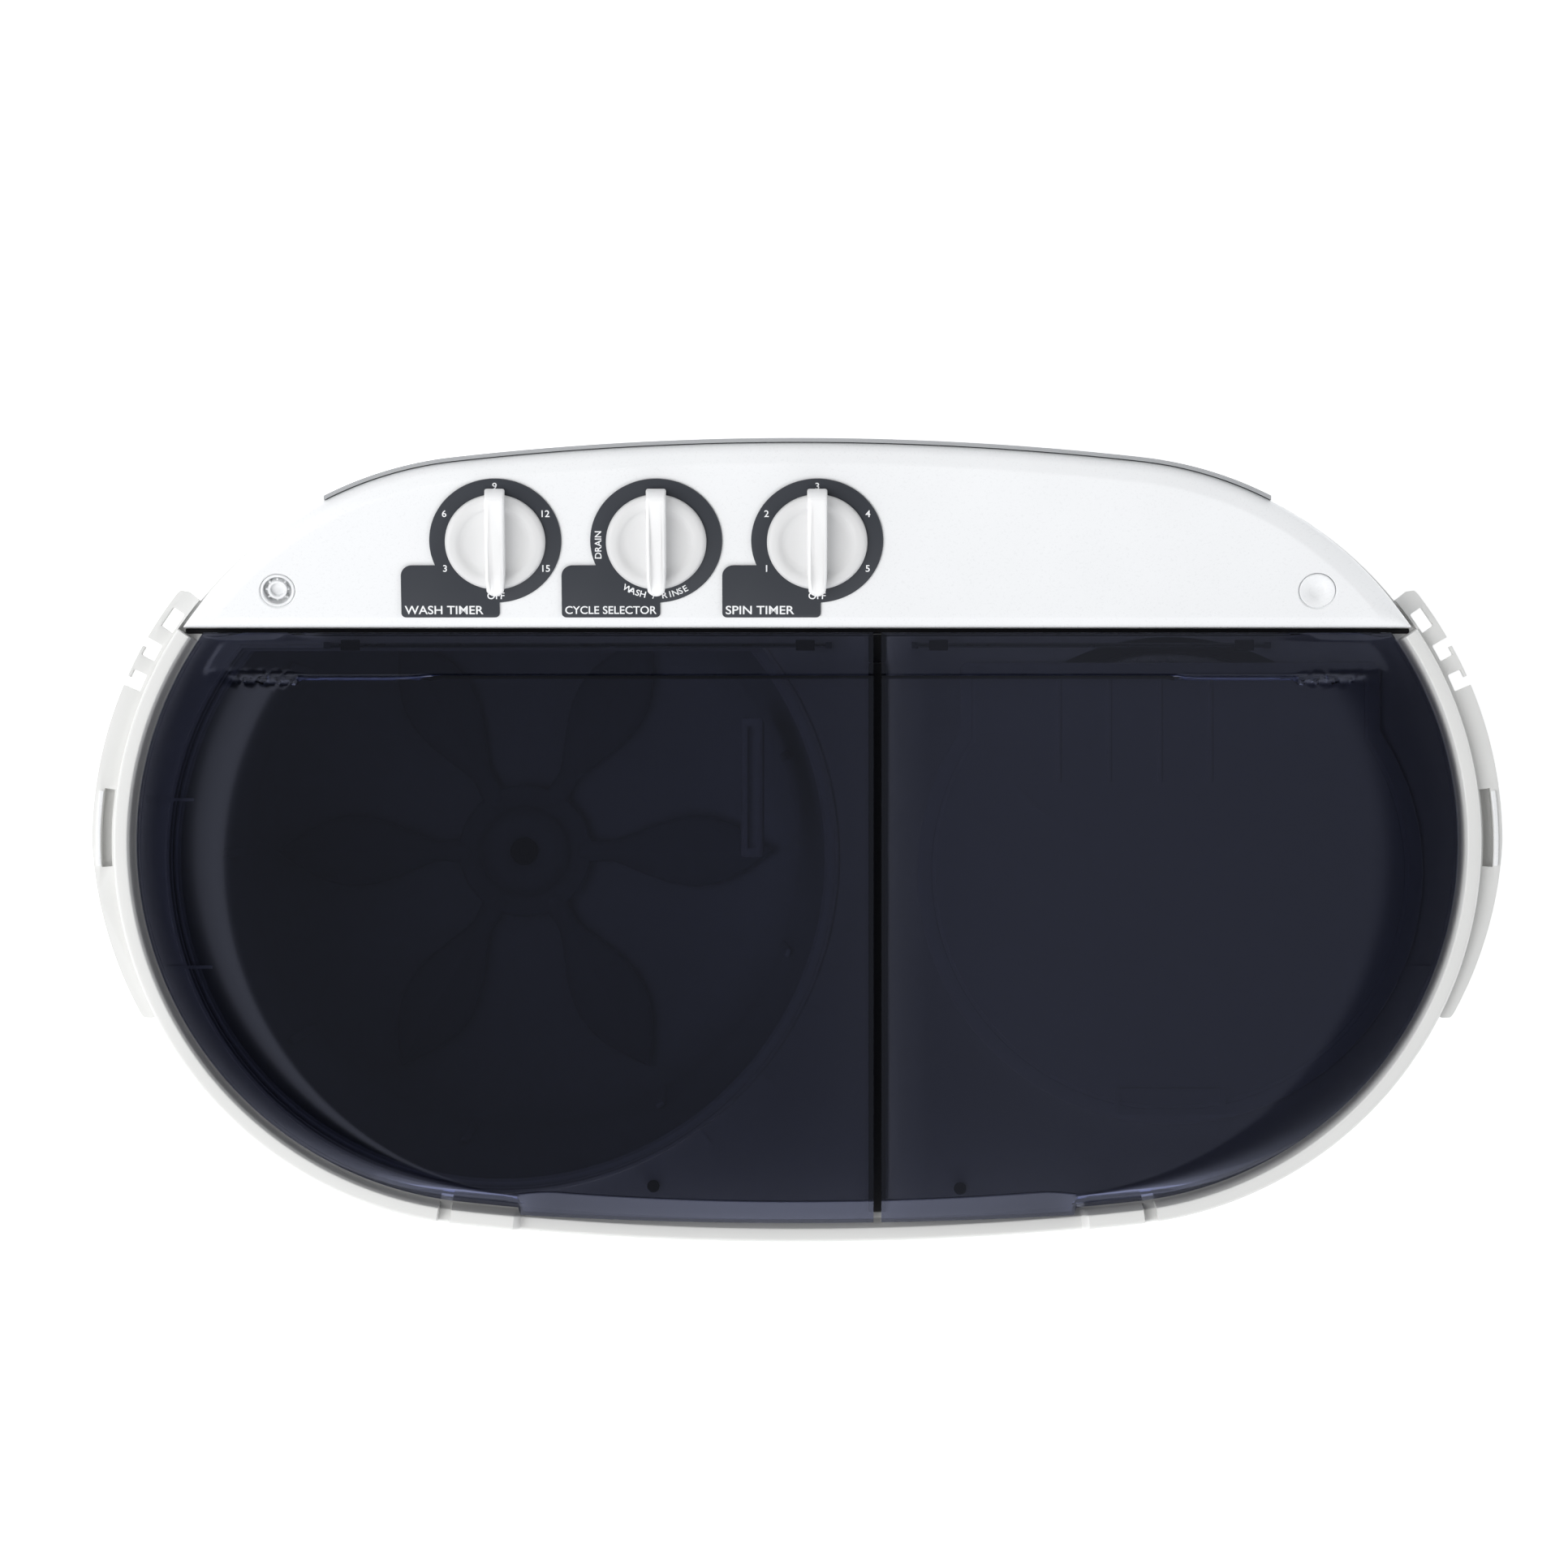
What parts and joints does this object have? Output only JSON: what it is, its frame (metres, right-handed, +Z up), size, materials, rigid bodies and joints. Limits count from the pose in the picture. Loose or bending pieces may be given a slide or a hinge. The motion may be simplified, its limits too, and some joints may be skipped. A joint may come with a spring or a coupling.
{
  "type": "twin tub washing machine",
  "caption": "Free-standing twin tub washer: an oval cabinet with a wash tub and a spin dryer under smoked lids, and a sloping panel with rotary controls",
  "frame": {"origin": "on the floor under the middle of the machine", "axes": "+Z up, +X to the user's right, -Y the front, where the user stands"},
  "size_m": [0.9002, 0.511, 1.0179],
  "materials": {
    "white_plastic": "moulded, satin",
    "grey_plastic": "moulded, matte",
    "dark_plastic": "moulded, matte",
    "smoked_plastic": "tinted translucent",
    "rubber": "matte",
    "steel": "zinc plated",
    "stainless": "brushed"
  },
  "bodies": {
    "root": {"base_stand": "dark_plastic", "foot_front_left": "rubber", "foot_front_right": "rubber", "foot_rear_left": "rubber", "foot_rear_right": "rubber", "cabinet_shell": "white_plastic", "rear_cover": "grey_plastic", "cord_gland": "dark_plastic", "top_deck": "white_plastic", "bumper_wash": "rubber", "bumper_spin": "rubber", "side_grip_left": "white_plastic", "side_grip_right": "white_plastic", "control_panel": "white_plastic", "panel_back_cover": "grey_plastic", "water_inlet": "white_plastic", "inlet_plug": "white_plastic", "water_channel": "grey_plastic", "wash_dial": "dark_plastic", "selector_dial": "dark_plastic", "spin_dial": "dark_plastic", "wash_timer": "dark_plastic", "spin_timer": "dark_plastic", "selector_base": "dark_plastic", "wash_hinge_rod": "steel", "spin_hinge_rod": "steel", "wash_tub": "white_plastic", "filter_panel": "white_plastic", "pulsator_seal": "rubber", "gear_case": "steel", "motor_bracket": "steel", "wash_motor": "dark_plastic", "drive_belt": "rubber", "spin_outer_tub": "white_plastic", "spin_seal": "rubber", "brake_bracket": "steel", "spin_motor": "dark_plastic", "spin_motor_plate": "steel", "spring_1": "steel", "spring_2": "steel", "spring_3": "steel", "drain_valve_body": "grey_plastic", "drain_outlet": "dark_plastic", "overflow_pipe": "grey_plastic"},
    "wash_knob_body": {"wash_knob": "white_plastic"},
    "selector_knob_body": {"selector_knob": "white_plastic"},
    "spin_knob_body": {"spin_knob": "white_plastic"},
    "wash_lid_body": {"wash_lid": "smoked_plastic"},
    "spin_lid_body": {"spin_lid": "smoked_plastic"},
    "inner_lid_body": {"inner_lid": "grey_plastic"},
    "pulsator_body": {"pulsator": "grey_plastic", "pulsator_cap": "white_plastic", "pulsator_shaft": "steel"},
    "drive_pulley_body": {"drive_pulley": "steel"},
    "motor_pulley_body": {"motor_pulley": "steel"},
    "basket_body": {"spin_basket": "stainless", "spin_shaft": "steel", "brake_drum": "steel"},
    "drain_plug_body": {"drain_valve_plug": "rubber"},
    "brake_lever_body": {"brake_lever": "steel"}
  },
  "joints": [
    {"name": "wash_knob_turn", "type": "hinge", "parent": "root", "child": "wash_knob_body", "pos_m": [-0.1913, 0.1913, 0.98406], "axis": [0, 0.3746, -0.9272], "range_deg": [0, 300]},
    {"name": "selector_knob_turn", "type": "hinge", "parent": "root", "child": "selector_knob_body", "pos_m": [-0.0894, 0.1913, 0.98406], "axis": [0, 0.3746, -0.9272], "range_deg": [0, 90]},
    {"name": "spin_knob_turn", "type": "hinge", "parent": "root", "child": "spin_knob_body", "pos_m": [0.0125, 0.1913, 0.98406], "axis": [0, 0.3746, -0.9272], "range_deg": [0, 300]},
    {"name": "wash_lid_hinge", "type": "hinge", "parent": "root", "child": "wash_lid_body", "pos_m": [-0.14, 0.1255, 0.944], "axis": [-1, 0, 0], "range_deg": [0, 90]},
    {"name": "spin_lid_hinge", "type": "hinge", "parent": "root", "child": "spin_lid_body", "pos_m": [0.1875, 0.1255, 0.944], "axis": [-1, 0, 0], "range_deg": [0, 90]},
    {"name": "inner_lid_hinge", "type": "hinge", "parent": "root", "child": "inner_lid_body", "pos_m": [0.238, 0.1095, 0.9375], "axis": [-1, 0, 0], "range_deg": [0, 81]},
    {"name": "pulsator_spin", "type": "hinge", "parent": "root", "child": "pulsator_body", "pos_m": [-0.1885, -0.0096, 0.44], "axis": [0, 0, 1], "continuous": true},
    {"name": "drive_pulley_spin", "type": "hinge", "parent": "root", "child": "drive_pulley_body", "pos_m": [-0.1885, -0.0096, 0.295], "axis": [0, 0, 1], "continuous": true},
    {"name": "motor_pulley_spin", "type": "hinge", "parent": "root", "child": "motor_pulley_body", "pos_m": [-0.04, -0.0096, 0.295], "axis": [0, 0, 1], "continuous": true},
    {"name": "basket_spin", "type": "hinge", "parent": "root", "child": "basket_body", "pos_m": [0.238, -0.019, 0.6], "axis": [0, 0, 1], "continuous": true},
    {"name": "drain_plug_lift", "type": "slide", "parent": "root", "child": "drain_plug_body", "axis": [0, 0, 1], "range_m": [0, 0.012]},
    {"name": "brake_lever_swing", "type": "hinge", "parent": "root", "child": "brake_lever_body", "pos_m": [0.3, -0.075, 0.27], "axis": [0, 0, 1], "range_deg": [0, 5]}
  ],
  "couplings": [
    {"joint": "inner_lid_hinge", "follows": "spin_lid_hinge", "ratio": 0.9},
    {"joint": "brake_lever_swing", "follows": "spin_lid_hinge", "ratio": 0.0555},
    {"joint": "drive_pulley_spin", "follows": "pulsator_spin", "ratio": 4},
    {"joint": "motor_pulley_spin", "follows": "pulsator_spin", "ratio": 12},
    {"joint": "drain_plug_lift", "follows": "selector_knob_turn", "m_per_rad": 0.007639}
  ]
}
